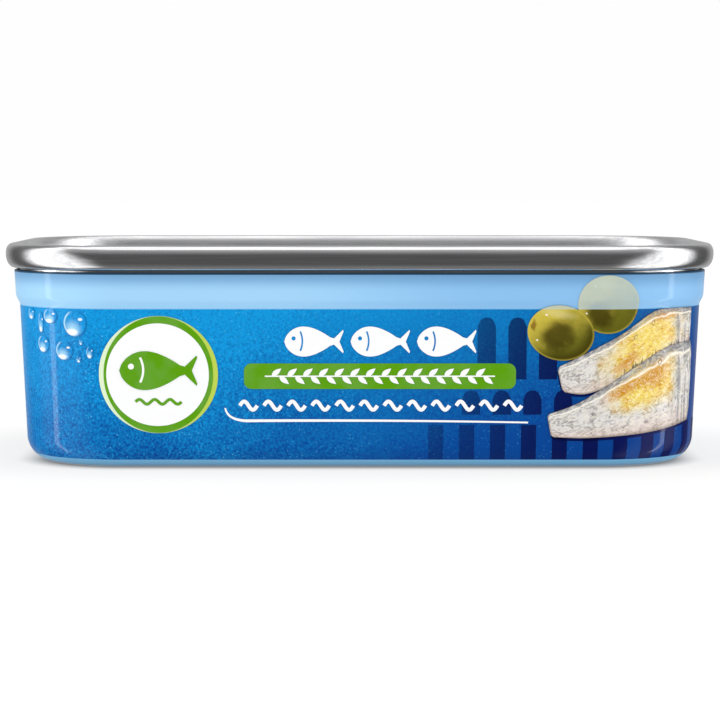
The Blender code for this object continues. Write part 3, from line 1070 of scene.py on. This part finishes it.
def drop_paint(graph):
    """A water drop: clear at its upper right, with a white crescent at its lower left and a small glint."""
    _, u, v = graph.local()
    rim = graph.spot(u, v, 0.5, 0.5, 0.5, 0.5)
    body = graph.spot(u, v, 0.38, 0.26, 0.44, 0.42)
    color = graph.mix(graph.fade(body, 1.15, 0.1, 0.85), field_paint(graph), DROP_LIGHT)
    left = graph.times(graph.fade(rim, 0.8, 0.93), graph.fade(u, 0.4, 0.15))
    color = graph.mix(graph.times(left, 0.8), color, DROP_RIM)
    right = graph.times(graph.fade(rim, 0.8, 1.0), graph.fade(u, 0.55, 0.8))
    color = graph.mix(graph.times(right, 0.5), color, DROP_DARK)
    crescent = graph.spot(u, v, 0.36, 0.17, 0.3, 0.15)
    color = graph.mix(graph.fade(crescent, 1.15, 0.5), color, linear(248, 252, 255))
    under = graph.times(graph.fade(rim, 0.93, 1.0), graph.fade(v, 0.5, 0.2))
    color = graph.mix(graph.times(under, 0.85), color, DROP_DARK)
    glint = graph.spot(u, v, 0.73, 0.66, 0.1, 0.06)
    return graph.mix(graph.fade(glint, 1.2, 0.5), color, WHITE)


def make_bars():
    """Tone-on-tone upright bars behind the food and along the foot."""
    bars = Prints("print_bars", 1, lacquer("print_navy", navy_paint))
    for count, first, step, width, low, high, round_top, rows in BAR_ROWS:
        for i in range(count):
            left = first + step * i
            bars.grid(upright_bar((left, low), (left + width, high), round_top), 6, rows)
    bars.done()


def make_badge(white, green):
    """A round white seal with a green ring and a green fish over a small wave."""
    x, z = BADGE_CENTER
    print_shape("badge_glow", 2, lacquer("badge_pale", glow_paint), oval((x, z), *BADGE_GLOW), 40, 40)
    print_shape("badge_ring", 3, green, oval((x, z), *BADGE_RING), 40, 40)
    print_shape("badge_face", 4, white, oval((x - 0.1, z), *BADGE_FACE), 40, 40)
    fish = Prints("badge_fish", 5, green)
    fish.flat(fish_outline((x - 5.6, z + 0.6), *BADGE_FISH))
    for i in range(3):
        wave = wave_path(x - 3.3 + 2.2 * i, z - 3.9, 2.2, 0.35)
        fish.grid(ribbon(wave, lambda u: 0.22), 12, 1)
    fish.done()
    eye = Prints("badge_eye", 6, white)
    eye.grid(oval((x - 3.9, z + 1.2), 0.42, 0.42), 8, 8)
    gill = bezier((x - 2.6, z + 2.5), (x - 1.7, z + 0.7), (x - 2.6, z - 1.1))
    eye.grid(ribbon(gill, lambda u: 0.16), 12, 1)
    eye.done()


def wave_path(start, height, length, swing):
    """One swell of a wavy line."""
    def path(u):
        return start + length * u, height + swing * sin(tau * u)
    return path


def make_headline(white):
    """A row of plain fish where the name of the food would stand, with a wavy line and an underline."""
    x, z = HEADLINE
    noses = [x + HEADLINE_STEP * i for i in range(3)]
    shapes = Prints("print_fish", 2, white)
    for nose in noses:
        shapes.flat(fish_outline((nose, z), *HEADLINE_FISH))
    shapes.done()
    line = Prints("print_waves", 2, white)
    for i in range(WAVES):
        wave = wave_path(WAVES_START[0] + WAVE_STEP * i, WAVES_START[1], 2.5, 0.62)
        line.grid(ribbon(wave, lambda u: 0.27), 14, 1)
    hook = bezier((-19.3, 8.85), (-19.0, 7.1), (-16.2, 7.0))
    line.grid(ribbon(hook, lambda u: 0.12 + 0.08 * u), 14, 1)
    underline = bezier((-16.2, 7.0), (4.0, 7.15), (24.2, 6.75))
    line.grid(ribbon(underline, lambda u: 0.2 - 0.08 * u), 30, 1)
    line.done()
    marks = Prints("print_eyes", 3, lacquer("print_blue", field_paint))
    for nose in noses:
        marks.grid(oval((nose + 1.35, z + 0.45), 0.3, 0.3), 6, 6)
        gill = bezier((nose + 2.3, z + 1.45), (nose + 2.9, z + 0.05), (nose + 2.3, z - 1.35))
        marks.grid(ribbon(gill, lambda u: 0.12), 10, 1)
    marks.done()


def make_pill(white, green):
    """A green label with a white olive branch."""
    label = Prints("print_label", 2, green)
    label.flat(rounded_bar((-16.6, 11.6), (22.4, 15.3), 1.1))
    label.done()
    branch = Prints("label_branch", 3, white)
    stalk = bezier((-13.6, 13.45), (3.0, 13.45), (19.4, 13.45))
    branch.grid(ribbon(stalk, lambda u: 0.1), 24, 1)
    for i in range(LEAF_PAIRS):
        base = -12.6 + 2.25 * i
        branch.flat(leaf_outline((base, 13.5), *LEAF_SIZE, LEAF_TILT))
        branch.flat(leaf_outline((base + 1.1, 13.4), *LEAF_SIZE, -LEAF_TILT))
    branch.done()


def make_olives():
    back = olive_paint((0.4, 0.3, 0.24, 0.24), (0.985, 0.36, 0.02, 0.05), 0.2)
    skin = lacquer("olive_skin_back", back, 0.72, OLIVE_VEIL)
    print_shape("olive_back", 3, skin, oval((35.5, 23.75), 4.3, 4.2, radians(-8)))
    front = olive_paint((0.47, 0.44, 0.24, 0.3), (0.08, 0.55, 0.045, 0.1), 0.85)
    skin = lacquer("olive_skin", front, 0.6, OLIVE_VEIL)
    print_shape("olive_front", 4, skin, oval((28.8, 19.67), 4.8, 3.95, radians(-10)))


def make_fillets():
    """Two fillets, the lower one over the upper one, with their shade on the field below them."""
    upper_shape = between(
        spline(((29.1, 11.2), (32.5, 10.9), (37.0, 12.6), (41.5, 15.2), (46.0, 17.0), (50.5, 17.6))),
        spline(((28.3, 14.7), (32.4, 16.7), (37.2, 19.3), (42.0, 22.5), (45.2, 23.03), (50.6, 23.03))),
        0.75, 0.97,
    )
    lower_shape = between(
        spline(((27.5, 4.65), (32.0, 4.5), (36.8, 4.75), (41.6, 5.15), (46.6, 5.8), (51.4, 6.6))),
        spline(((26.9, 7.9), (31.2, 9.5), (35.8, 12.3), (40.6, 15.4), (45.6, 17.7), (51.3, 18.2))),
        0.8, 0.72,
    )
    shade = lacquer("print_shadow", lambda graph: field_paint(graph, 0.93))
    print_shape("print_shade", 2, shade, moved(upper_shape, -0.1, -0.4), *FILLET_GRID)
    low_shade = lacquer("print_shadow_low", lambda graph: field_paint(graph, 0.97))
    print_shape("print_shade_low", 1, low_shade, moved(lower_shape, 0.1, -0.45), *FILLET_GRID)
    upper_paint = fillet_paint(
        (0.6, 0.5, 0.3, 0.62),
        ((0.72, 0.85, 0.17, 0.12), (0.46, 0.3, 0.1, 0.16)),
        ((0.62, 0.78, 0.012, 0.05), (0.5, 0.72, 0.01, 0.04)),
        0.16,
    )
    upper_skin = lacquer("fish_skin_upper", upper_paint, 0.5)
    print_shape("fillet_upper", 5, upper_skin, upper_shape, *FILLET_GRID)
    lower_paint = fillet_paint(
        (0.62, 0.66, 0.23, 0.34),
        ((0.5, 0.76, 0.16, 0.13), (0.68, 0.74, 0.12, 0.2)),
        ((0.72, 0.86, 0.012, 0.03),),
        0.0,
    )
    lower_skin = lacquer("fish_skin_lower", lower_paint, 0.5)
    print_shape("fillet_lower", 6, lower_skin, lower_shape, *FILLET_GRID)


def make_drops():
    drops = Prints("print_drops", 2, lacquer("water_drop", drop_paint))
    for along, up, radius_x, radius_y in DROPS:
        drops.grid(oval((along, up), radius_x, radius_y), 14, 14)
    drops.done()


DROPS = (
    (-49.7, 22.1, 0.95, 0.84), (-47.25, 20.9, 0.6, 1.5), (-45.2, 21.9, 1.35, 1.08), (-40.9, 20.95, 1.85, 1.9),
    (-46.9, 17.8, 1.24, 1.25), (-42.8, 17.0, 1.5, 1.4), (-38.65, 16.8, 0.55, 0.88), (-40.0, 18.3, 0.28, 0.42),
    (-40.4, 15.8, 0.35, 0.5),
)


def make_print():
    white = lacquer("print_white", plain_paint(PRINT_WHITE))
    green = lacquer("print_green", plain_paint(BADGE_GREEN, 0.03))
    make_bars()
    make_badge(white, green)
    make_headline(white)
    make_pill(white, green)
    make_olives()
    make_fillets()
    make_drops()


# The studio


def make_floor():
    """A wide pale floor that throws no reflection of its own on the metal and glows evenly, but for a soft
    painted shadow round the tin.
    """
    bm = bmesh.new()
    bmesh.ops.create_grid(bm, x_segments=8, y_segments=8, size=FLOOR_REACH)
    material, graph = new_material("floor_pale")
    _, x, y, _ = graph.place()
    gap = graph.beyond(x, y, FOOT_INSET)
    # Painted shadow: the floor's glow fades out under and round the tin, in a tight dark contact shadow and a
    # wide faint one
    painted_contact_shadow = graph.fade(gap, -1.5 * MM, 6 * MM)
    wide = graph.fade(gap, 4 * MM, 24 * MM, 1.0, 0.93)
    graph.dial("Base Color", (FLOOR_SHADOW, FLOOR_SHADOW, FLOOR_SHADOW, 1.0))
    graph.dial("Emission Color", (1.0, 1.0, 1.0, 1.0))
    light = graph.times(painted_contact_shadow, wide, STUDIO_WHITE - FLOOR_SHADOW)
    graph.dial("Emission Strength", light)
    graph.dial("Roughness", 1.0)
    graph.dial("Specular IOR Level", 0.0)
    floor = add_mesh("floor", bm, material)
    floor.visible_glossy = False


def studio_light(graph, x, y, z):
    """What shiny surfaces see: soft boxes to both sides and above, dark towards the front and below."""
    forward = graph.math("DIVIDE", graph.times(y, -1.0), graph.larger(graph.reach(x, y), 0.001))
    front_edge = graph.ramped(graph.larger(z, -0.3), 0.4, forward)
    side = graph.times(
        graph.fade(front_edge, 0.84, 0.46),
        graph.fade(forward, -0.48, -0.08),
        graph.fade(z, 0.86, 0.7),
        graph.fade(z, -0.97, -0.86),
        SIDE_LIGHT,
    )
    strip = graph.times(
        graph.fade(forward, 0.18, 0.14),
        graph.fade(forward, 0.01, 0.05),
        graph.fade(graph.size(z), 0.75, 0.6),
        STRIP_LIGHT,
    )
    above = graph.times(graph.fade(z, 0.74, 0.82), graph.fade(y, 0.42, 0.2, 1.0, 0.35), TOP_LIGHT)
    behind = graph.fade(forward, -0.55, -0.98, 0.5)
    ceiling = graph.fade(forward, -0.2, 0.2, 0.45, 0.24)
    front = graph.larger(graph.fade(z, 0.05, 0.7, ceiling, 0.11), graph.fade(z, -0.6, -0.95, 0.22, 0.1))
    return graph.larger(graph.larger(graph.plus(side, strip), above), graph.larger(behind, front))


def make_world():
    """Even white light, with the studio's soft boxes for reflections alone."""
    world = bpy.data.worlds.new("studio")
    bpy.context.scene.world = world
    world.use_nodes = True
    graph = Graph(world.node_tree, world.node_tree.nodes["Background"])
    studio = studio_light(graph, *graph.parted(graph.node("TexCoord", {})["Generated"]))
    grey = graph.node("CombineColor", {0: studio, 1: studio, 2: studio})[0]
    path = graph.node("LightPath", {})
    plain = graph.plus(path["Is Camera Ray"], path["Is Diffuse Ray"], clamp=True)
    light = graph.mix(plain, grey, (STUDIO_WHITE, STUDIO_WHITE, STUDIO_WHITE, 1.0))
    graph.dial("Color", light)


def make_camera():
    data = bpy.data.cameras.new("camera")
    data.sensor_width = SENSOR_WIDTH
    data.lens = FOCAL_PIXELS / FRAME_PIXELS * SENSOR_WIDTH
    data.clip_start = 0.01
    camera = bpy.data.objects.new("camera", data)
    camera.location = (CAMERA_X, -CAMERA_DISTANCE, CAMERA_HEIGHT)
    camera.rotation_euler = (pi / 2 - CAMERA_PITCH, 0, 0)
    bpy.context.scene.collection.objects.link(camera)
    bpy.context.scene.camera = camera


def main():
    bpy.context.scene.view_settings.view_transform = "Standard"
    make_camera()
    make_world()
    make_floor()
    bright = metal("bright_metal")
    make_can(lacquer("print_field", field_paint), metal("base_metal", 0.26))
    make_lid(metal("lid_metal", seamed=True), bright)
    make_tab(bright)
    make_print()


main()
